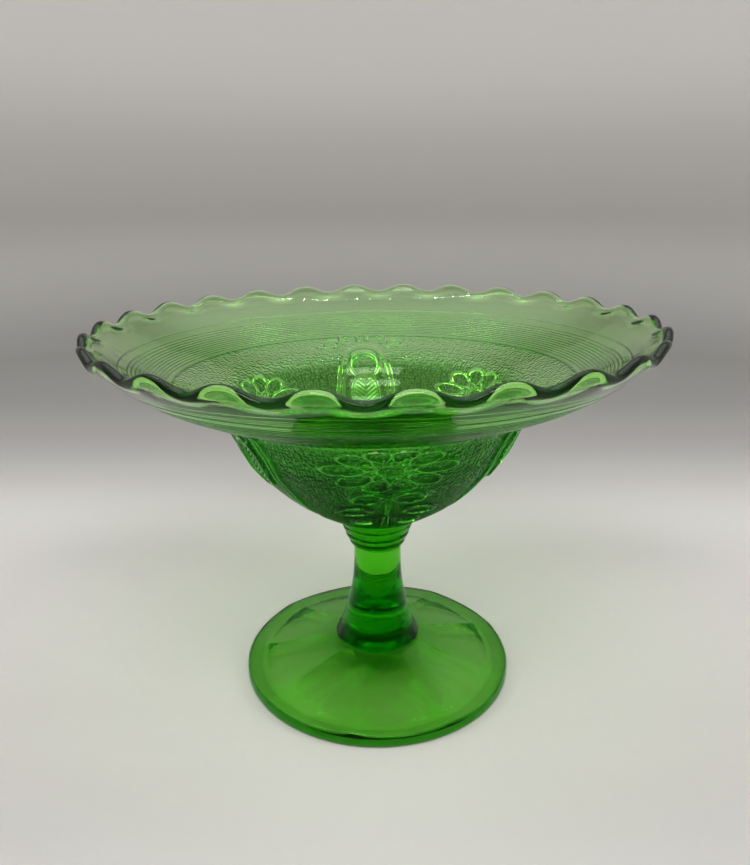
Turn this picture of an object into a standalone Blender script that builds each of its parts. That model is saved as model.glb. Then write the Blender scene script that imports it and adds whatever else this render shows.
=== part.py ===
"""Footed dish in green uranium glass: bowl, ringed collar, flared stem and panelled foot.

Metres, +Z up. The origin is on the stem's axis, on the surface that the foot stands on.
-Y is the front. The bowl and the collar lean very slightly on the stem, as on a hot joint.
"""

from math import cos, pi, radians, sin, sqrt

import bmesh
import bpy
from mathutils import Matrix, Vector

MM = 0.001

# Rim: scallops with broad tips and narrow notches between them.
SCALLOPS = 26
SCALLOP_TURN = radians(-1.2)
SCALLOP_OUT = 1.1 * MM
SCALLOP_UP = 1.8 * MM
SCALLOP_FULLNESS = 0.16
RIM_RADIUS = 99.0 * MM
RIM_HEIGHT = 139.8 * MM
RIM_THICKNESS = 4.0 * MM
# The rim's section, as places across and along the wall, in wall thicknesses.
RIM_SECTION = ((0.5, -0.25), (0.3, 0.35), (-0.3, 0.35), (-0.5, -0.25))

# Bowl: the outside of the wall, from the collar out to the rim, as radius and height.
BOWL_OUTSIDE = (
    (14.3 * MM, 67.2 * MM),
    (21.0 * MM, 69.8 * MM),
    (35.0 * MM, 79.6 * MM),
    (48.0 * MM, 94.6 * MM),
    (53.2 * MM, 104.8 * MM),
    (57.5 * MM, 112.4 * MM),
    (68.0 * MM, 117.5 * MM),
    (85.0 * MM, 126.0 * MM),
    (100.3 * MM, 138.3 * MM),
)
BOWL_BASE = 66.9 * MM
BOWL_BASE_RADIUS = 14.0 * MM
BOWL_FLOOR = 73.9 * MM
CUP_THICKNESS = 7.2 * MM
BOWL_ROWS = 12
STEPS_PER_SCALLOP = 6

# Lean of the bowl and collar about the top of the stem, right side up.
LEAN = 0.0151

# Collar: four rings on a cone that widens towards the bowl.
COLLAR_BOTTOM = 54.6 * MM
COLLAR_TOP = 66.6 * MM
COLLAR_RINGS = (10.4 * MM, 12.6 * MM, 14.2 * MM, 14.7 * MM)
COLLAR_GROOVE = 0.9 * MM
# Height and inset of the points of one ring, as a share of its pitch and a length.
RING_POINTS = ((0.3, 0.15 * MM), (0.6, 0.0))
COLLAR_FOOT_RADIUS = 9.6 * MM

# Stem: radius and height, from the rounded pad on the foot up to the collar.
STEM_OUTLINE = (
    (15.6 * MM, 13.3 * MM),
    (16.7 * MM, 13.9 * MM),
    (16.9 * MM, 14.9 * MM),
    (16.1 * MM, 16.6 * MM),
    (13.8 * MM, 22.2 * MM),
    (11.4 * MM, 30.6 * MM),
    (9.9 * MM, 39.0 * MM),
    (9.3 * MM, 48.0 * MM),
    (9.5 * MM, 54.3 * MM),
)

# Foot: nine flat panels that fall from the stem to a round edge, hollow underneath.
PANELS = 9
PANEL_TURN = radians(-100.0)
FOOT_RADIUS = 53.6 * MM
FOOT_CROWN = 13.0 * MM
CROWN_RADIUS = 17.2 * MM
PANEL_SLOPE = 0.235
PANEL_REACH = 50.2 * MM
PANEL_ROWS = (52.6 * MM, PANEL_REACH, 38.0 * MM, 27.0 * MM)
EDGE_WAIST = 2.4 * MM
RING_OUTER = 51.6 * MM
RING_INNER = 46.5 * MM
HOLLOW_HEIGHT = 5.2 * MM
HOLLOW_ROWS = (0.35, 0.7)
STEPS_PER_PANEL = 9

ROUND_STEPS = 40
SMOOTH_ANGLE = radians(35.0)


def clear_scene():
    """Remove everything that a new file holds."""
    for item in list(bpy.data.objects):
        bpy.data.objects.remove(item, do_unlink=True)


def glass(name, colour):
    """Green glass with the colour of one member."""
    material = bpy.data.materials.new(name)
    material.use_nodes = True
    shader = material.node_tree.nodes["Principled BSDF"]
    shader.inputs["Base Color"].default_value = (*colour, 1.0)
    shader.inputs["Metallic"].default_value = 0.0
    shader.inputs["Roughness"].default_value = 0.06
    shader.inputs["IOR"].default_value = 1.52
    shader.inputs["Transmission Weight"].default_value = 0.9
    material.diffuse_color = (*colour, 1.0)
    return material


def smooth_curve(points, count):
    """Return count points, evenly spaced along a Catmull-Rom curve through the given points."""
    knots = [Vector(point) for point in points]
    knots = [2 * knots[0] - knots[1]] + knots + [2 * knots[-1] - knots[-2]]
    fine = []
    for i in range(1, len(knots) - 2):
        a, b, c, d = knots[i - 1 : i + 3]
        for k in range(24):
            t = k / 24
            fine.append(
                0.5 * (2 * b + (c - a) * t + (2 * a - 5 * b + 4 * c - d) * t**2
                       + (3 * b - a - 3 * c + d) * t**3)
            )
    fine.append(knots[-2])
    walked = [0.0]
    for a, b in zip(fine, fine[1:]):
        walked.append(walked[-1] + (b - a).length)
    result = []
    index = 0
    for k in range(count):
        target = walked[-1] * k / (count - 1)
        while index < len(fine) - 2 and walked[index + 1] < target:
            index += 1
        share = (target - walked[index]) / (walked[index + 1] - walked[index])
        result.append(fine[index].lerp(fine[index + 1], share))
    return result


def turned(name, rows, steps, start_angle, material):
    """Build a closed turned solid.

    rows run from the axis below, up the outside and back to the axis. The first and last are
    heights on the axis. Each row between is a function of the angle that gives radius and height.
    """
    mesh = bmesh.new()
    angles = [start_angle + 2 * pi * k / steps for k in range(steps)]
    rings = []
    for row in rows[1:-1]:
        ring = []
        for angle in angles:
            radius, height = row(angle)
            ring.append(mesh.verts.new((radius * cos(angle), radius * sin(angle), height)))
        rings.append(ring)
    for lower, upper in zip(rings, rings[1:]):
        for k in range(steps):
            n = (k + 1) % steps
            mesh.faces.new((lower[k], lower[n], upper[n], upper[k]))
    first = mesh.verts.new((0.0, 0.0, rows[0]))
    last = mesh.verts.new((0.0, 0.0, rows[-1]))
    for k in range(steps):
        n = (k + 1) % steps
        mesh.faces.new((first, rings[0][n], rings[0][k]))
        mesh.faces.new((last, rings[-1][k], rings[-1][n]))
    bmesh.ops.recalc_face_normals(mesh, faces=mesh.faces)
    bmesh.ops.triangulate(mesh, faces=mesh.faces)
    data = bpy.data.meshes.new(name)
    mesh.to_mesh(data)
    mesh.free()
    data.shade_smooth()
    data.set_sharp_from_angle(angle=SMOOTH_ANGLE)
    data.materials.append(material)
    item = bpy.data.objects.new(name, data)
    bpy.context.collection.objects.link(item)
    return item


def level(point):
    """Return a row with the same radius and height all round."""
    return lambda angle: (point[0], point[1])


def scallop(angle):
    """Return how far the rim stands out at an angle, from -1 in a notch to 1 at a tip."""
    turn = SCALLOPS * (angle - SCALLOP_TURN)
    return cos(turn) + SCALLOP_FULLNESS * (1.0 - cos(2 * turn)) / 2


def rim_row(across, along):
    """Return a row of the rim, at a place across and along the wall's thickness."""
    slope = Vector(BOWL_OUTSIDE[-1]) - Vector(BOWL_OUTSIDE[-2])
    slope.normalize()
    outward = Vector((slope.y, -slope.x))

    def row(angle):
        wave = scallop(angle)
        radius = RIM_RADIUS + SCALLOP_OUT * wave
        height = RIM_HEIGHT + SCALLOP_UP * wave
        place = Vector((radius, height)) + (outward * across + slope * along) * RIM_THICKNESS
        return place.x, place.y

    return row


def bowl():
    """Build the dish: cup, flared brim and scalloped rim, one wall of glass."""
    outside = smooth_curve(BOWL_OUTSIDE, BOWL_ROWS)
    inside = []
    for k in range(BOWL_ROWS - 1):
        before = outside[max(k - 1, 0)]
        along = (outside[k + 1] - before).normalized()
        share = k / (BOWL_ROWS - 1)
        thickness = CUP_THICKNESS + (RIM_THICKNESS - CUP_THICKNESS) * share
        inside.append(outside[k] + Vector((-along.y, along.x)) * thickness)
    rows = [BOWL_BASE, level((BOWL_BASE_RADIUS, BOWL_BASE))]
    rows += [level(point) for point in outside[:-1]]
    rows += [rim_row(across, along) for across, along in RIM_SECTION]
    rows += [level(point) for point in reversed(inside)]
    rows.append(BOWL_FLOOR)
    colour = (0.10, 0.38, 0.06)
    steps = SCALLOPS * STEPS_PER_SCALLOP
    return turned("bowl", rows, steps, SCALLOP_TURN, glass("bowl_glass", colour))


def collar():
    """Build the rings between the bowl and the stem."""
    pitch = (COLLAR_TOP - COLLAR_BOTTOM) / len(COLLAR_RINGS)
    rows = [COLLAR_BOTTOM, level((COLLAR_FOOT_RADIUS, COLLAR_BOTTOM))]
    for index, radius in enumerate(COLLAR_RINGS):
        low = COLLAR_BOTTOM + index * pitch
        if index:
            rows.append(level((COLLAR_RINGS[index - 1] - COLLAR_GROOVE, low)))
        for share, inset in RING_POINTS:
            rows.append(level((radius - inset, low + share * pitch)))
    rows.append(level((COLLAR_RINGS[-1] - COLLAR_GROOVE, COLLAR_TOP)))
    rows.append(COLLAR_TOP)
    return turned("collar", rows, ROUND_STEPS, 0.0, glass("collar_glass", (0.05, 0.30, 0.02)))


def stem():
    """Build the solid stem with the pad at its lower end."""
    rows = [STEM_OUTLINE[0][1]]
    rows += [level(point) for point in STEM_OUTLINE]
    rows.append(STEM_OUTLINE[-1][1])
    return turned("stem", rows, ROUND_STEPS, 0.0, glass("stem_glass", (0.04, 0.26, 0.02)))


def panel_row(radius):
    """Return a row on the foot's panels, which meet in ridges."""
    width = 2 * pi / PANELS
    edge_height = FOOT_CROWN - PANEL_SLOPE * (PANEL_REACH - CROWN_RADIUS)

    def row(angle):
        across = (angle - PANEL_TURN) % width - width / 2
        height = edge_height + PANEL_SLOPE * (PANEL_REACH - radius * cos(across))
        return radius, min(height, FOOT_CROWN)

    return row


def foot():
    """Build the panelled foot, which stands on a flat ring round its hollow."""
    rows = [HOLLOW_HEIGHT]
    for share in HOLLOW_ROWS:
        rows.append(level((RING_INNER * share, HOLLOW_HEIGHT * sqrt(1.0 - share**2))))
    rows.append(level((RING_INNER, 0.0)))
    rows.append(level((RING_OUTER, 0.0)))
    rows.append(level((FOOT_RADIUS, EDGE_WAIST)))
    rows += [panel_row(radius) for radius in PANEL_ROWS]
    rows.append(level((CROWN_RADIUS, FOOT_CROWN)))
    rows.append(FOOT_CROWN)
    material = glass("foot_glass", (0.08, 0.34, 0.05))
    return turned("foot", rows, PANELS * STEPS_PER_PANEL, PANEL_TURN, material)


def main():
    clear_scene()
    pivot = Matrix.Translation((0.0, 0.0, COLLAR_BOTTOM))
    lean = pivot @ Matrix.Rotation(-LEAN, 4, "Y") @ pivot.inverted()
    for item in (bowl(), collar()):
        item.matrix_world = lean
    stem()
    foot()


main()
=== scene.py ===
"""Looks of a footed dish in pressed green glass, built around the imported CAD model.

Metres, +Z up, -Y is the front. The four glass members are turned meshes whose surface is moved
in code: a scalloped rim, fine rings, a repeated flower relief, a ringed collar and a panelled foot.
"""

from math import cos, pi, radians, sin

import bpy
import numpy as np
from mathutils import Matrix, Vector

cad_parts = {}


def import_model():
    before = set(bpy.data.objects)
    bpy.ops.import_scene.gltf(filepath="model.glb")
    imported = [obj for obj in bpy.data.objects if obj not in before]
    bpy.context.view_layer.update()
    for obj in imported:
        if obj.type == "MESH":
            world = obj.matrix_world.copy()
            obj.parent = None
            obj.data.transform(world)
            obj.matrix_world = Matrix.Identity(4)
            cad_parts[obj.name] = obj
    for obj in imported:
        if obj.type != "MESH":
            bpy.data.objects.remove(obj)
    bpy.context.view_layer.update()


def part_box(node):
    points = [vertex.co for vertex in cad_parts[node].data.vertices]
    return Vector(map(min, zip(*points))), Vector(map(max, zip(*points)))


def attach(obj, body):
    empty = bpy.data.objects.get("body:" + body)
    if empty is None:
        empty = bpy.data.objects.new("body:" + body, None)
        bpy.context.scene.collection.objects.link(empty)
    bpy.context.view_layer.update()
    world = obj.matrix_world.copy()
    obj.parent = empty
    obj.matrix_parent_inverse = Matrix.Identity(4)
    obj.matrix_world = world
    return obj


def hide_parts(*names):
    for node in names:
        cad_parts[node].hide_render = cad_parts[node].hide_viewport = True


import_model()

MM = 0.001

# The bowl's scallops and wall, as in the CAD model, in millimetres, apart from RIM_TAPER: how much
# thinner the wall gets on the inside, between the two distances up the wall in TAPER_WALK.
SCALLOPS = 26
SCALLOP_TURN = radians(-1.2)
BOWL_OUTSIDE = (
    (14.3, 67.2),
    (21.0, 69.8),
    (35.0, 79.6),
    (48.0, 94.6),
    (53.2, 104.8),
    (57.5, 112.4),
    (68.0, 117.5),
    (85.0, 126.0),
    (100.3, 138.3),
)
BOWL_FLOOR = 73.9
CUP_THICKNESS = 7.2
BRIM_THICKNESS = 4.0
RIM_TAPER = 1.0
TAPER_WALK = (96.0, 111.0)
LEAN = 0.0151

# The bowl's painted shade, as a share from 0 on the patterned ground of the cup, painted darkest,
# to 1 on the brim, with none: the value inside the cup, and the most that the raised relief reaches
# on the outside, which is so painted lighter than the ground round it.
UNSHADED_INSIDE = 0.5
UNSHADED_RIDGE = 0.75

# Where the painted shade of the patterned cup fades out into the brim, as distances up the wall.
OUTSIDE_UNSHADED = (63.5, 68.0)
INSIDE_UNSHADED = (45.0, 58.0)

# Where the flowers of the relief stand, as an angle from +X and as a distance up the wall.
FLOWER_TURN = radians(-85.0)
FLOWER_WALK = 56.0
REPEATS = 3

# The flower: long petals round a beaded button, FLOWER_SQUASH times as wide as it is tall. The
# petals that point up or down are shorter than the rest by up to PETAL_SHORTENED before that squash.
PETALS = 10
PETAL_NEAR = 6.4
PETAL_FAR = 23.5
PETAL_SHORTENED = 4.5
PETAL_WIDTH = 4.6
FLOWER_SQUASH = 1.85
BEAD_RING = 5.8
BEAD_COUNT = 18
BUTTON_RADIUS = 4.4

# The stippled ground of the relief, and how deep the ground lies in the wall.
STIPPLE_ROUND = 250
STIPPLE_PITCH = 1.25
STIPPLE_HEIGHT = 0.42
SUNK = 0.5

# The fine turned rings outside the brim.
RING_RADII = (76.6, 88.2)
RING_COUNT = 11
LONE_RING = 91.0
RING_HEIGHT = 0.2
RING_WIDTH = 0.42

# Foot: nine panels between soft ridges. The hollow underneath is 1.4 mm higher than the CAD's. Its
# skin gets a painted shade, a dark band round the edge, which sets in between the two radii in
# EDGE_PAINTED_SHADE.
PANELS = 9
PANEL_TURN = radians(-100.0)
PANEL_SLOPE = 0.235
PANEL_REACH = 50.2
CROWN_RADIUS = 17.2
HOLLOW_RADIUS = 46.5
HOLLOW_HEIGHT = 6.6
HOLLOW_ROUND = 0.85
SCOOP_DEPTH = 0.6
EDGE_PAINTED_SHADE = (52.4, 53.3)

# The mould seam: how proud it stands on the stem and on the foot.
STEM_SEAM = 0.12
FOOT_SEAM = 0.22

# The gap that the CAD leaves at each fused joint, and how far the glass members reach into each
# other here, so that they read as one piece of glass.
JOINT_GAP = 0.3
MERGE = 0.4


# ---------------------------------------------------------------- shapes


def smooth_curve(points, count):
    """Return count points, evenly spaced along a Catmull-Rom curve through the given points."""
    knots = np.array(points, float)
    knots = np.vstack([2 * knots[0] - knots[1], knots, 2 * knots[-1] - knots[-2]])
    share = np.linspace(0.0, 1.0, 24, endpoint=False)[:, None]
    fine = []
    for a, b, c, d in zip(knots, knots[1:], knots[2:], knots[3:]):
        fine.append(
            0.5 * (2 * b + (c - a) * share + (2 * a - 5 * b + 4 * c - d) * share**2
                   + (3 * b - a - 3 * c + d) * share**3)
        )
    fine = np.vstack(fine + [knots[-2:-1]])
    walked = walked_lengths(fine)
    return sample(np.linspace(0.0, walked[-1], count), walked, fine)


def walked_lengths(curve):
    """Return the distance walked along a curve up to each of its points."""
    return np.concatenate([[0.0], np.cumsum(np.linalg.norm(np.diff(curve, axis=0), axis=1))])


def sample(places, walked, values):
    """Return the two columns of values at places along a curve."""
    return np.stack([np.interp(places, walked, values[:, k]) for k in (0, 1)], axis=1)


def normals(curve):
    """Return the unit normals on the right-hand side of a curve that runs up the outside."""
    along = np.gradient(curve, axis=0)
    along /= np.linalg.norm(along, axis=1)[:, None]
    return np.stack([along[:, 1], -along[:, 0]], axis=1)


def hill(distance, width):
    """Return a smooth hill: 1 at distance 0, falling to 0 at the width."""
    share = np.clip(1.0 - np.abs(distance) / width, 0.0, 1.0)
    return share * share * (3.0 - 2.0 * share)


def step(value, low, high):
    """Return a smooth step from 0 at low to 1 at high."""
    share = np.clip((value - low) / (high - low), 0.0, 1.0)
    return share * share * (3.0 - 2.0 * share)


def turned(name, sections, angles, pole_heights, material, unshaded=None):
    """Build a closed mesh from sections[row, column] = (radius, height) in millimetres.

    clear[row, column] is stored as an attribute for the material, which paints shade on the skin where
    it is low.
    """
    rows, columns = sections.shape[:2]
    places = np.empty((rows, columns, 3))
    places[..., 0] = sections[..., 0] * np.cos(angles)
    places[..., 1] = sections[..., 0] * np.sin(angles)
    places[..., 2] = sections[..., 1]
    poles = np.array([[0.0, 0.0, height] for height in pole_heights])
    vertices = np.vstack([places.reshape(-1, 3), poles]) * MM
    here = np.arange(columns)
    beyond = (here + 1) % columns
    base = (np.arange(rows - 1) * columns)[:, None]
    quads = np.stack([base + here, base + beyond, base + columns + beyond, base + columns + here], -1)
    bottom, top = rows * columns, rows * columns + 1
    last = (rows - 1) * columns
    fans = np.vstack([
        np.stack([np.full(columns, bottom), beyond, here], 1),
        np.stack([np.full(columns, top), last + here, last + beyond], 1),
    ])
    mesh = bpy.data.meshes.new(name)
    corners = np.concatenate([quads.ravel(), fans.ravel()])
    starts = np.concatenate([
        np.arange(quads.size // 4) * 4,
        quads.size + np.arange(len(fans)) * 3,
    ])
    mesh.vertices.add(len(vertices))
    mesh.vertices.foreach_set("co", vertices.astype(np.float32).ravel())
    mesh.loops.add(len(corners))
    mesh.loops.foreach_set("vertex_index", corners.astype(np.int32))
    mesh.polygons.add(len(starts))
    mesh.polygons.foreach_set("loop_start", starts.astype(np.int32))
    mesh.update(calc_edges=True)
    if unshaded is not None:
        layer = mesh.attributes.new("unshaded", "FLOAT", "POINT")
        values = np.append(unshaded.ravel(), (unshaded[0, 0], unshaded[-1, 0]))
        layer.data.foreach_set("value", values.astype(np.float32))
    mesh.shade_smooth()
    mesh.materials.append(material)
    item = bpy.data.objects.new(name, mesh)
    bpy.context.collection.objects.link(item)
    return item


def lean(item, pivot_height):
    """Tilt a piece a little, right side up, about a point on the axis."""
    pivot = Matrix.Translation((0.0, 0.0, pivot_height))
    item.data.transform(pivot @ Matrix.Rotation(-LEAN, 4, "Y") @ pivot.inverted())


# ---------------------------------------------------------------- relief of the bowl


def cells(across, along, pitch, wrap, seed):
    """Return 0 to 1 bumps on a jittered grid; wrap is the number of cells round the bowl."""
    random = np.random.default_rng(seed)
    table = random.random((wrap, 512, 3))
    column, row = np.floor(across), np.floor(along / pitch)
    best = np.full(across.shape, 9.0)
    for dx in (-1, 0, 1):
        for dy in (-1, 0, 1):
            pick = table[((column + dx) % wrap).astype(int), (row + dy).astype(int) % 512]
            x = column + dx + 0.5 + 0.6 * (pick[..., 0] - 0.5) - across
            y = row + dy + 0.5 + 0.6 * (pick[..., 1] - 0.5) - along / pitch
            best = np.minimum(best, x * x + y * y)
    return np.clip(1.0 - best / 0.36, 0.0, 1.0)


def dome(distance):
    """Return a round dome: 1 in the middle, falling steeply to 0 at distance 1."""
    return np.sqrt(np.clip(1.0 - distance**2, 0.0, 1.0))


def turn_to(x, y, turn):
    """Return places along and across a direction."""
    return x * cos(turn) + y * sin(turn), y * cos(turn) - x * sin(turn)


def petal(x, y, turn, near, far, width):
    """Return a hollowed petal with a raised outline, pointing away from the origin."""
    along, across = turn_to(x, y, turn)
    share = (2 * along - near - far) / (far - near)
    reach = np.hypot(share, across / (width * (1.0 + 0.3 * np.clip(share, -1.0, 1.0))))
    return 1.2 * dome((reach - 0.86) / 0.17) - 0.6 * (reach < 0.86) * (1.0 - reach)


def flower(x, y):
    """Return the flower: long petals round a button with a ring of beads."""
    y = y * FLOWER_SQUASH
    relief = np.zeros_like(x)
    for k in range(PETALS):
        turn = 2 * pi * k / PETALS
        far = PETAL_FAR - PETAL_SHORTENED * abs(sin(turn))
        shape = petal(x, y, turn, PETAL_NEAR, far, PETAL_WIDTH)
        relief = np.where(np.abs(shape) > np.abs(relief), shape, relief)
    distance = np.hypot(x, y)
    around = np.arctan2(y, x)
    place = BEAD_RING * (np.mod(around * BEAD_COUNT / (2 * pi), 1.0) - 0.5) * 2 * pi / BEAD_COUNT
    beading = 1.5 * dome(np.hypot(distance - BEAD_RING, place))
    relief = np.maximum(relief * (distance > BEAD_RING), beading)
    return np.maximum(relief, 1.4 * dome((distance - BUTTON_RADIUS) / 0.7))


def leaf(x, y, turn, length, width):
    """Return a leaf with a raised outline and midrib, its stalk end at the origin."""
    along, across = turn_to(x, y, turn)
    reach = np.hypot(2 * along / length - 1.0, across / width)
    midrib = 0.7 * dome(across / 0.6) * (reach < 0.85)
    return np.maximum(1.4 * dome((reach - 0.86) / 0.24), midrib)


def stroke(x, y, points, width, height):
    """Return a rounded ridge along a short polyline."""
    nearest = np.full(x.shape, 99.0)
    for (ax, ay), (bx, by) in zip(points, points[1:]):
        dx, dy = bx - ax, by - ay
        share = np.clip(((x - ax) * dx + (y - ay) * dy) / (dx * dx + dy * dy), 0.0, 1.0)
        nearest = np.minimum(nearest, np.hypot(x - ax - share * dx, y - ay - share * dy))
    return height * dome(nearest / width)


def beads(x, y, points, radius, height):
    """Return a row of beads, one at each point."""
    nearest = np.full(x.shape, 99.0)
    for px, py in points:
        nearest = np.minimum(nearest, np.hypot(x - px, y - py))
    return height * dome(nearest / radius)


def arc(centre, radius, start, end, count):
    """Return count points on an arc, angles in degrees."""
    turns = np.radians(np.linspace(start, end, count))
    return [(centre[0] + radius * cos(t), centre[1] + radius * sin(t)) for t in turns]


def medallion(x, y):
    """Return the framed, veined leaf between two flowers, with scrolls and beads above it."""
    border = np.hypot(x / 12.5, (y + 4.0) / np.where(y < -4.0, 36.0, 23.0))
    relief = np.maximum(1.1 * dome((border - 1.0) * 11.0), 0.9 * dome((border - 0.80) * 13.0))
    relief = relief * step(y, -46.0, -18.0)
    blade = np.hypot(x / 6.4, (y + 6.0) / 11.5)
    veins = np.abs(np.sin(pi * (y - 0.9 * np.abs(x)) / 2.0))
    relief = np.maximum(relief, (blade < 0.9) * 0.9 * veins)
    relief = np.maximum(relief, 1.4 * dome((blade - 0.95) * 7.0))
    disc = np.hypot(x, y - 9.0)
    relief = np.maximum(relief, 1.3 * dome((disc - 6.4) / 0.8))
    relief = np.maximum(relief, beads(np.abs(x), y, arc((0.0, 9.0), 8.6, 5.0, 90.0, 9), 0.8, 1.3))
    for points in (arc((6.0, 25.0), 4.2, -60.0, 200.0, 14), arc((14.0, 21.5), 3.2, 0.0, 240.0, 12)):
        relief = np.maximum(relief, stroke(x, y, points, 0.9, 1.2))
    return np.maximum(relief, beads(x, y, arc((16.0, 28.0), 9.0, 195.0, 300.0, 11), 0.8, 1.2))


# Beside the flower's middle, mirrored: each leaf's stalk end, turn in degrees, length and width,
# and the stalks as polylines.
LEAVES = (
    ((0.9, -13.5), -4.0, 12.0, 3.4),
    ((4.5, -22.5), -8.0, 13.0, 3.0),
    ((3.0, -31.5), -8.0, 9.0, 2.6),
)
STALKS = (
    ((0.4, -12.0), (0.0, -24.0), (0.6, -38.0)),
    ((0.5, -27.0), (4.0, -30.0), (9.0, -31.0)),
)


def relief(walk, radius, angles):
    """Return how far the bowl's outside stands proud, in millimetres, and how little painted shade it
    gets.

    walk is the distance up the outside from the collar, and radius the bowl's radius there.
    """
    sector = 2 * pi / REPEATS
    turn = np.mod(angles - FLOWER_TURN + sector / 2, sector) - sector / 2
    x = turn[None, :] * radius[:, None]
    y = np.broadcast_to(walk[:, None], x.shape) - FLOWER_WALK
    side = np.abs(x)
    design = flower(x, y)
    for place, turned_by, length, width in LEAVES:
        blade = leaf(side - place[0], y - place[1], radians(turned_by), length, width)
        design = np.where(np.abs(design) > 0.02, design, blade)
    for points in STALKS:
        design = np.maximum(design, stroke(side, y, points, 0.8, 1.0))
    framed = medallion(sector / 2 * radius[:, None] - side, y)
    design = np.where(framed > 0.02, framed, design)
    around = np.broadcast_to(angles / (2 * pi) * STIPPLE_ROUND, x.shape)
    stipple = cells(around, np.broadcast_to(walk[:, None], x.shape), STIPPLE_PITCH, STIPPLE_ROUND, 7)
    design = np.where(np.abs(design) > 0.02, design, STIPPLE_HEIGHT * stipple)
    zone = step(walk, 4.0, 9.0) * (1.0 - step(walk, 82.0, 84.0))
    fade = 1.0 - 0.45 * step(walk, 66.0, 74.0)
    brim = step(walk, *OUTSIDE_UNSHADED)[:, None]
    # Painted shade: darkest on the ground, lighter where the relief stands proud, none on the brim.
    unshaded = brim + (1.0 - brim) * UNSHADED_RIDGE * np.clip(design / 1.1, 0.0, 1.0)
    return (design * fade[:, None] - SUNK) * zone[:, None], unshaded


def rings(radius):
    """Return the fine turned rings near the rim, as height against radius."""
    height = np.zeros_like(radius)
    for centre in list(np.linspace(*RING_RADII, RING_COUNT)) + [LONE_RING]:
        height += RING_HEIGHT * hill(radius - centre, RING_WIDTH)
    return height


# ---------------------------------------------------------------- the four glass members


def lobes(angles):
    """Return 0 in a notch of the rim to 1 at the tip of a scallop."""
    turn = SCALLOPS * (angles - SCALLOP_TURN)
    return 0.5 + 0.5 * (np.cos(turn) + 0.08 * (1.0 - np.cos(2 * turn)))


# The rim's section in a notch and at a scallop's tip: up the outside, over the edge, down to
# the level line on the inside where the scallops turn up.
RIM_NOTCH = (
    (98.3, 136.5),
    (99.9, 137.4),
    (100.9, 138.5),
    (100.9, 139.6),
    (99.9, 140.3),
    (98.6, 140.4),
    (97.5, 140.1),
    (96.7, 139.4),
)
RIM_TIP = (
    (98.8, 137.3),
    (100.2, 138.8),
    (101.3, 140.6),
    (101.7, 142.2),
    (101.0, 143.3),
    (99.9, 143.5),
    (98.9, 143.0),
    (98.1, 141.6),
    (97.6, 140.3),
    (96.9, 139.4),
)


def rim(angles, rows):
    """Return the rim's sections from the outside, over the edge, to the inside."""
    notch = smooth_curve(RIM_NOTCH, rows)
    tip = smooth_curve(RIM_TIP, rows)
    share = lobes(angles)[None, :, None]
    return notch[:, None, :] * (1.0 - share) + tip[:, None, :] * share


def bowl(material):
    """Build the dish: cup, brim and scalloped rim."""
    columns = SCALLOPS * 44
    angles = SCALLOP_TURN + 2 * pi * np.arange(columns) / columns
    fine = smooth_curve(BOWL_OUTSIDE, 1200)
    out = normals(fine)
    walked = walked_lengths(fine)
    walk = np.concatenate([
        np.arange(0.0, 6.0, 0.6),
        np.arange(6.0, 84.0, 0.3),
        np.arange(84.0, 103.5, 0.24),
        np.arange(103.5, 111.0, 0.7),
    ])
    outside = sample(walk, walked, fine)
    raised, unshaded = relief(walk, outside[:, 0], angles)
    raised = raised + rings(outside[:, 0])[:, None]
    outer = outside[:, None, :] + raised[..., None] * sample(walk, walked, out)[:, None, :]

    share = np.linspace(0.0, 1.0, 80)
    inner_walk = share * walk[-1]
    thickness = CUP_THICKNESS + (BRIM_THICKNESS - CUP_THICKNESS) * share
    thickness -= RIM_TAPER * step(inner_walk, *TAPER_WALK)
    inside = sample(inner_walk, walked, fine) - sample(inner_walk, walked, out) * thickness[:, None]
    inside = inside[::-1][1:]
    inner = np.broadcast_to(inside[:, None, :], (len(inside), columns, 2))

    base = BOWL_OUTSIDE[0][1] - JOINT_GAP - MERGE
    under = np.broadcast_to(np.array([[[BOWL_OUTSIDE[0][0] - 0.6, base]]]), (1, columns, 2))
    edge = rim(angles, 28)
    sections = np.concatenate([under, outer, edge, inner])
    # Painted shade inside the cup, lighter than on the outside ground, fading out up the wall.
    inner_unshaded = UNSHADED_INSIDE + (1.0 - UNSHADED_INSIDE) * step(inner_walk[::-1][1:], *INSIDE_UNSHADED)
    unshaded = np.concatenate([
        np.zeros((1, columns)),
        unshaded,
        np.ones((len(edge), columns)),
        np.broadcast_to(inner_unshaded[:, None], inner.shape[:2]),
    ])
    item = turned("dish_bowl", sections, angles, (base, BOWL_FLOOR), material, unshaded)
    lean(item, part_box("collar")[0].z)
    return item


def collar(material):
    """Build the ringed collar between the bowl and the stem."""
    columns = 240
    angles = 2 * pi * np.arange(columns) / columns
    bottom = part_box("stem")[1].z / MM + JOINT_GAP - MERGE
    top = BOWL_OUTSIDE[0][1] - JOINT_GAP + 0.1
    height = np.linspace(bottom, top, 110)
    share = (height - bottom) / (top - bottom)
    cone = np.interp(share, (0.0, 0.12, 0.30, 0.52, 0.75, 1.0), (10.2, 10.9, 12.1, 13.1, 14.1, 14.6))
    ring = np.abs(np.sin(pi * share * 4.0)) ** 0.6
    radius = cone - 0.75 + 0.75 * ring
    sections = np.broadcast_to(np.stack([radius, height], 1)[:, None, :], (len(height), columns, 2))
    item = turned("dish_collar", sections, angles, (bottom, top), material)
    lean(item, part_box("collar")[0].z)
    return item


STEM_OUTLINE = (
    (15.6, 13.3),
    (16.7, 13.9),
    (16.9, 14.9),
    (16.1, 16.6),
    (13.8, 22.2),
    (11.4, 30.6),
    (9.9, 39.0),
    (9.3, 48.0),
    (9.5, 54.3),
)


def to_seam(columns):
    """Return each column's distance from the mould seam, which is at column 0, in columns."""
    return np.minimum(np.arange(columns), columns - np.arange(columns))


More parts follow.
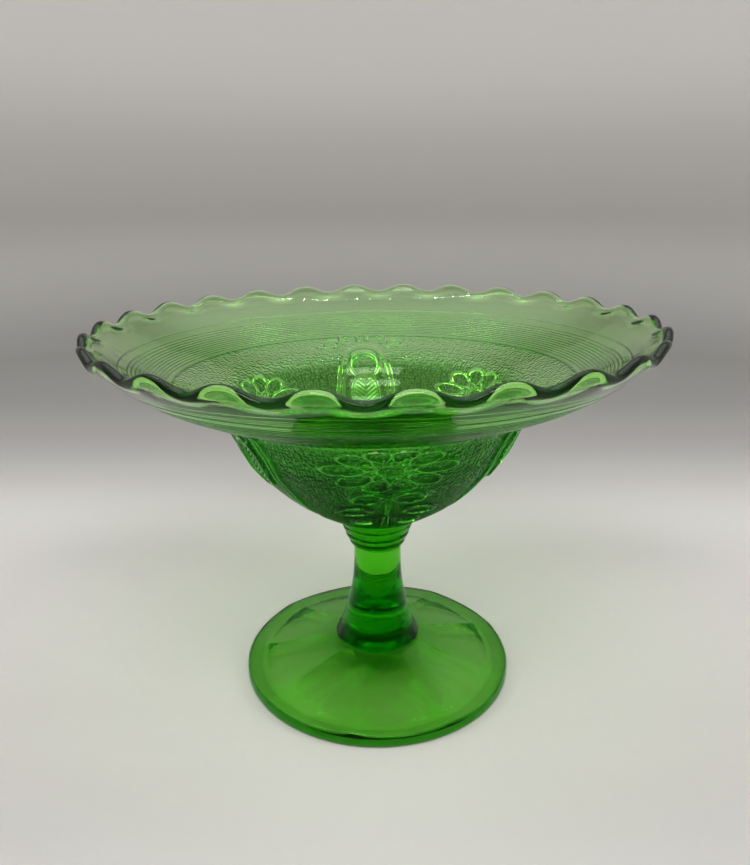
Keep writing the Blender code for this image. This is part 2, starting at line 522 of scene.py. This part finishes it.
def stem(material):
    """Build the solid, flared stem and the pad that it stands on."""
    columns = 240
    angles = PANEL_TURN + 2 * pi * np.arange(columns) / columns
    outline = smooth_curve(STEM_OUTLINE, 140)
    outline = np.vstack([outline[:1] + (-0.3, -JOINT_GAP - MERGE), outline])
    sections = np.repeat(outline[:, None, :], columns, axis=1)
    seam = hill(to_seam(columns), 3.0)
    sections[..., 0] += STEM_SEAM * seam[None, :] * (outline[:, 1] < 30.0)[:, None]
    return turned("dish_stem", sections, angles, (outline[0, 1], outline[-1, 1]), material)


def foot(material):
    """Build the panelled foot on its ring, hollow underneath."""
    columns = PANELS * 100
    angles = PANEL_TURN + 2 * pi * np.arange(columns) / columns
    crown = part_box("foot")[1].z / MM
    edge_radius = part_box("foot")[1].y / MM
    width = 2 * pi / PANELS
    across = np.mod(angles - PANEL_TURN, width) - width / 2
    to_ridge = width / 2 - np.abs(across)

    def panel_height(radius):
        soft = np.hypot(to_ridge, 0.5 / radius)
        flat = PANEL_SLOPE * (PANEL_REACH - radius * np.cos(width / 2 - soft))
        edge = crown - PANEL_SLOPE * (PANEL_REACH - CROWN_RADIUS)
        scoop = SCOOP_DEPTH * np.clip(1.0 - (across / (width / 2)) ** 2, 0.0, 1.0)
        scoop = scoop * step(radius, CROWN_RADIUS, 26.0) * (1.0 - step(radius, 42.0, 51.0))
        return np.minimum(edge + flat - scoop, crown)

    def level(radius, height):
        return np.stack([np.full(columns, radius), np.full(columns, height)], 1)

    rows = []
    for share in np.linspace(0.08, 1.0, 24):
        rows.append(level(HOLLOW_RADIUS * share, HOLLOW_HEIGHT * (1.0 - share**2) ** HOLLOW_ROUND))
    standing_ring = ((HOLLOW_RADIUS, 0.15), (47.2, 0.0), (51.8, 0.0), (53.1, 0.3))
    edge = smooth_curve(standing_ring + ((edge_radius, 1.2), (53.6, 2.8), (53.4, 3.8)), 30)
    for radius, height in edge[1:]:
        rows.append(level(radius, height))
    corner, last = edge[-1], 51.9
    top_height = panel_height(last)
    for turn in np.radians(np.linspace(12.0, 90.0, 12)):
        radius = last + (corner[0] - last) * cos(turn)
        height = corner[1] + (top_height - corner[1]) * sin(turn)
        rows.append(np.stack([np.full(columns, radius), height], 1))
    top = len(rows)
    for radius in np.linspace(last - 0.5, CROWN_RADIUS - 1.5, 90):
        rows.append(np.stack([np.full(columns, radius), panel_height(radius)], 1))
    sections = np.stack(rows)
    seam = hill(to_seam(columns), 2.0)
    place = sections[:, 0, 0]
    proud = step(place, 22.0, 30.0) * (1.0 - step(place, 49.0, 51.0)) * (np.arange(len(rows)) >= top)
    sections[..., 1] += FOOT_SEAM * seam[None, :] * proud[:, None]
    # Painted shade: a dark band round the foot's edge.
    unshaded = 1.0 - step(place, *EDGE_PAINTED_SHADE)[:, None] * np.ones(columns)
    return turned("dish_foot", sections, angles, (HOLLOW_HEIGHT, crown), material, unshaded)


# ---------------------------------------------------------------- materials


def nodes_of(name):
    """Return a new material with its node tree."""
    material = bpy.data.materials.new(name)
    material.use_nodes = True
    return material, material.node_tree.nodes, material.node_tree.links


def noise(nodes, links, coordinates, scale, detail):
    """Return a noise texture that reads the given coordinates."""
    texture = nodes.new("ShaderNodeTexNoise")
    texture.inputs["Scale"].default_value = scale
    texture.inputs["Detail"].default_value = detail
    links.new(coordinates, texture.inputs["Vector"])
    return texture.outputs["Fac"]


def glass(name, skin, shade_tints=None):
    """Green glass that darkens with its depth, with a fire-polished, faintly wavy skin.

    skin colours its reflections. tints are the stops of the painted shade that light takes on at
    the surface, by the mesh's "clear" attribute: darkest where it is 0, none where it is 1.
    """
    material, nodes, links = nodes_of(name)
    shader = nodes["Principled BSDF"]
    shader.inputs["Base Color"].default_value = (1.0, 1.0, 1.0, 1.0)
    shader.inputs["IOR"].default_value = 1.52
    shader.inputs["Transmission Weight"].default_value = 1.0
    shader.inputs["Specular Tint"].default_value = (*skin, 1.0)
    place = nodes.new("ShaderNodeTexCoord").outputs["Object"]
    if shade_tints:
        # The painted shade, read from the mesh's attribute.
        unshaded = nodes.new("ShaderNodeAttribute")
        unshaded.attribute_name = "unshaded"
        links.new(ramp(nodes, links, unshaded.outputs["Fac"], shade_tints), shader.inputs["Base Color"])
    smudge = nodes.new("ShaderNodeMapRange")
    smudge.inputs["To Min"].default_value = 0.005
    smudge.inputs["To Max"].default_value = 0.045
    links.new(noise(nodes, links, place, 70.0, 3.0), smudge.inputs["Value"])
    links.new(smudge.outputs["Result"], shader.inputs["Roughness"])
    bump = nodes.new("ShaderNodeBump")
    bump.inputs["Strength"].default_value = 0.12
    bump.inputs["Distance"].default_value = 0.0006
    links.new(noise(nodes, links, place, 160.0, 2.0), bump.inputs["Height"])
    links.new(bump.outputs["Normal"], shader.inputs["Normal"])
    absorb = nodes.new("ShaderNodeVolumeAbsorption")
    absorb.inputs["Color"].default_value = (0.50, 0.909, 0.18, 1.0)
    absorb.inputs["Density"].default_value = 220.0
    links.new(absorb.outputs["Volume"], nodes["Material Output"].inputs["Volume"])
    return material


def ramp(nodes, links, value, stops):
    """Return a colour ramp over stops of (position, colour)."""
    item = nodes.new("ShaderNodeValToRGB")
    item.color_ramp.interpolation = "CARDINAL"
    while len(item.color_ramp.elements) < len(stops):
        item.color_ramp.elements.new(0.5)
    for element, (position, colour) in zip(item.color_ramp.elements, stops):
        element.position = position
        element.color = (*colour, 1.0)
    links.new(value, item.inputs["Fac"])
    return item.outputs["Color"]


# Painted shade on the bowl: dark green on the cup's patterned ground, paler inside the cup, none on the
# brim.
BOWL_SHADE_TINTS = (
    (0.0, (0.03, 0.17, 0.02)),
    (UNSHADED_INSIDE, (0.50, 0.80, 0.44)),
    (1.0, (1.0, 1.0, 1.0)),
)
# Painted shade on the foot: dark green round its edge, none elsewhere.
FOOT_SHADE_TINTS = (
    (0.0, (0.06, 0.40, 0.04)),
    (1.0, (1.0, 1.0, 1.0)),
)

CEILING_REACH = (1.2, 1.0)
CEILING_GLOW = 2.0
CEILING_FADE = (
    (0.0, (1.0, 1.0, 0.98)),
    (0.30, (0.95, 0.95, 0.93)),
    (0.75, (0.35, 0.35, 0.34)),
    (1.0, (0.15, 0.15, 0.15)),
)
# Painted shade and light on the backdrop: the levels below stand in for how the light falls on the
# sweep. They are lightest on the floor just behind the dish, darker towards the foot of the wall and
# lighter again up it.
# The backdrop's lightness, set to follow that of the photo's backdrop: the floor's from
# front to back, by its place plus FLOOR_SHIFT, and the wall's by its height. A cast turns the floor
# rosy and a little lighter at the front, and warm behind the dish.
FLOOR_SHIFT = 0.20
FLOOR_SHADE_LEVELS = (
    (0.11, 0.66),
    (0.14, 0.72),
    (0.18, 0.76),
    (0.25, 0.81),
    (0.29, 0.84),
    (0.34, 0.835),
    (0.37, 0.78),
    (0.40, 0.70),
    (0.44, 0.615),
    (0.49, 0.525),
    (0.54, 0.50),
    (0.60, 0.463),
    (0.68, 0.48),
    (0.80, 0.50),
)
FRONT_CAST = (1.05, 0.987, 1.003)
MIDDLE_CAST = (1.0, 0.955, 0.95)
BACK_CAST = (1.0, 0.973, 0.945)
WALL_SHADE_LEVELS = (
    (0.02, 0.58),
    (0.10, 0.69),
    (0.17, 0.73),
    (0.26, 0.84),
    (0.33, 0.97),
    (0.42, 1.0),
)


def floor_painted_shade():
    """Return the floor's colour stops: painted shade and light."""
    stops = []
    for place, level in FLOOR_SHADE_LEVELS:
        if place < 0.27:
            cast = FRONT_CAST
        elif place < 0.30:
            cast = MIDDLE_CAST
        else:
            cast = BACK_CAST
        stops.append((place, tuple(round(level * share, 2) for share in cast)))
    return stops


def wall_painted_shade():
    """Return the wall's grey stops: painted shade, lighter up the wall."""
    return [(place, (level, level, level)) for place, level in WALL_SHADE_LEVELS]


def backdrop_painted_shade():
    """Pale paper with painted shade and light: its tone changes from front to back and with its height.
    """
    material, nodes, links = nodes_of("backdrop_painted_shade")
    shader = nodes["Principled BSDF"]
    place = nodes.new("ShaderNodeNewGeometry").outputs["Position"]
    split = nodes.new("ShaderNodeSeparateXYZ")
    links.new(place, split.inputs["Vector"])
    shifted = nodes.new("ShaderNodeMath")
    shifted.inputs[1].default_value = FLOOR_SHIFT
    links.new(split.outputs["Y"], shifted.inputs[0])
    # Painted shade and light, by place on the floor and by height on the wall.
    floor_shade = ramp(nodes, links, shifted.outputs["Value"], floor_painted_shade())
    wall_shade = ramp(nodes, links, split.outputs["Z"], wall_painted_shade())
    mix = nodes.new("ShaderNodeMix")
    mix.data_type = "RGBA"
    mix.blend_type = "MULTIPLY"
    mix.inputs["Factor"].default_value = 1.0
    links.new(floor_shade, mix.inputs[6])
    links.new(wall_shade, mix.inputs[7])
    links.new(mix.outputs[2], shader.inputs["Base Color"])
    shader.inputs["Roughness"].default_value = 0.5
    shader.inputs["Specular IOR Level"].default_value = 0.25
    return material


# ---------------------------------------------------------------- stage, lights, camera

CAMERA_PLACE = (-0.0010, -0.2704, 0.1887)
CAMERA_LENS = 31.2
LOOKS_DOWN = radians(18.17)


def camera():
    """Put the camera in front, a little above the dish."""
    data = bpy.data.cameras.new("camera")
    data.lens = CAMERA_LENS
    data.sensor_width = 36.0
    item = bpy.data.objects.new("camera", data)
    item.location = CAMERA_PLACE
    item.rotation_euler = (pi / 2 - LOOKS_DOWN, 0.0, 0.0)
    bpy.context.collection.objects.link(item)
    bpy.context.scene.camera = item


def backdrop():
    """Build a round sweep: floor, curve and wall in one sheet."""
    columns = 128
    angles = 2 * pi * np.arange(columns) / columns
    curve, wall = 0.15, 0.85
    outline = [(radius, 0.0) for radius in np.linspace(0.02, wall - curve, 24)]
    turns = np.radians(np.linspace(0.0, 90.0, 16))[1:]
    outline += [(wall - curve + curve * sin(t), curve - curve * cos(t)) for t in turns]
    outline += [(wall, height) for height in np.linspace(0.18, 0.62, 12)]
    vertices = [(r * cos(a), r * sin(a), z) for r, z in outline for a in angles] + [(0.0, 0.0, 0.0)]
    faces = []
    for row in range(len(outline) - 1):
        for k in range(columns):
            n = (k + 1) % columns
            faces.append(
                (row * columns + k, (row + 1) * columns + k, (row + 1) * columns + n, row * columns + n)
            )
    faces += [(len(vertices) - 1, k, (k + 1) % columns) for k in range(columns)]
    mesh = bpy.data.meshes.new("backdrop")
    mesh.from_pydata(vertices, [], faces)
    mesh.shade_smooth()
    mesh.materials.append(backdrop_painted_shade())
    item = bpy.data.objects.new("backdrop", mesh)
    bpy.context.collection.objects.link(item)


def softbox(name, place, size, power, reflects):
    """Add a soft rectangular light over the dish, which shows in the glass if it reflects."""
    data = bpy.data.lights.new(name, "AREA")
    data.shape = "RECTANGLE"
    data.size, data.size_y = size
    data.energy = power
    item = bpy.data.objects.new(name, data)
    item.location = place
    item.rotation_euler = (Vector((0.0, 0.0, 0.05)) - Vector(place)).to_track_quat("-Z", "Y").to_euler()
    item.visible_glossy = reflects
    bpy.context.collection.objects.link(item)


def ceiling():
    """Hang a pale ceiling that fades outwards and shows only in the glass."""
    material, nodes, links = nodes_of("ceiling_glow")
    nodes.remove(nodes["Principled BSDF"])
    shape = nodes.new("ShaderNodeVectorMath")
    shape.operation = "MULTIPLY"
    shape.inputs[1].default_value = (1.0 / CEILING_REACH[0], 1.0 / CEILING_REACH[1], 0.0)
    links.new(nodes.new("ShaderNodeTexCoord").outputs["Object"], shape.inputs[0])
    away = nodes.new("ShaderNodeVectorMath")
    away.operation = "LENGTH"
    links.new(shape.outputs["Vector"], away.inputs[0])
    glow = nodes.new("ShaderNodeEmission")
    glow.inputs["Strength"].default_value = CEILING_GLOW
    links.new(ramp(nodes, links, away.outputs["Value"], CEILING_FADE), glow.inputs["Color"])
    links.new(glow.outputs["Emission"], nodes["Material Output"].inputs["Surface"])
    x, y = CEILING_REACH
    mesh = bpy.data.meshes.new("ceiling")
    mesh.from_pydata([(-x, -y, 0.0), (-x, y, 0.0), (x, y, 0.0), (x, -y, 0.0)], [], [(0, 1, 2, 3)])
    mesh.materials.append(material)
    item = bpy.data.objects.new("ceiling", mesh)
    item.location = (0.0, 0.15, 0.90)
    item.visible_diffuse = False
    item.visible_shadow = False
    bpy.context.collection.objects.link(item)


def lamp_row(name, start, end, count, radius, strength):
    """Add a row of small round lamps, whose reflections are the dotted lines on the glass."""
    material, nodes, links = nodes_of(name)
    nodes.remove(nodes["Principled BSDF"])
    glow = nodes.new("ShaderNodeEmission")
    glow.inputs["Strength"].default_value = strength
    links.new(glow.outputs["Emission"], nodes["Material Output"].inputs["Surface"])
    vertices, faces = [], []
    for share in np.linspace(0.0, 1.0, count):
        centre = Vector(start).lerp(Vector(end), share)
        first = len(vertices)
        for k in range(12):
            turn = -2 * pi * k / 12
            vertices.append((centre.x + radius * cos(turn), centre.y + radius * sin(turn), centre.z))
        faces.append(tuple(range(first, first + 12)))
    mesh = bpy.data.meshes.new(name)
    mesh.from_pydata(vertices, [], faces)
    mesh.materials.append(material)
    item = bpy.data.objects.new(name, mesh)
    item.visible_transmission = False
    item.visible_diffuse = False
    bpy.context.collection.objects.link(item)


def world():
    """Set a dim, even surround."""
    item = bpy.data.worlds.new("surround")
    item.use_nodes = True
    background = item.node_tree.nodes["Background"]
    background.inputs["Color"].default_value = (0.82, 0.82, 0.80, 1.0)
    background.inputs["Strength"].default_value = 0.30
    bpy.context.scene.world = item


camera()
backdrop()
world()
ceiling()
softbox("left_box", (-0.62, -0.10, 0.80), (0.35, 0.50), 4.6, False)
softbox("right_box", (0.62, -0.10, 0.80), (0.35, 0.50), 4.6, False)
softbox("front_box", (0.0, -0.60, 0.80), (0.70, 0.28), 3.9, True)
lamp_row("lamps_back", (-0.15, 0.14, 0.60), (0.15, 0.14, 0.60), 20, 0.0030, 80.0)

for make, node, skin, shade_tints in (
    (bowl, "bowl", (0.45, 0.58, 0.42), BOWL_SHADE_TINTS),
    (collar, "collar", (0.06, 0.8, 0.04), None),
    (stem, "stem", (0.06, 0.8, 0.04), None),
    (foot, "foot", (0.30, 1.0, 0.16), FOOT_SHADE_TINTS),
):
    piece = make(glass(node + "_glass", skin, shade_tints))
    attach(piece, "root")
    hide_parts(node)

view_settings = bpy.context.scene.view_settings
view_settings.view_transform = "Standard"
view_settings.look = "Medium High Contrast"
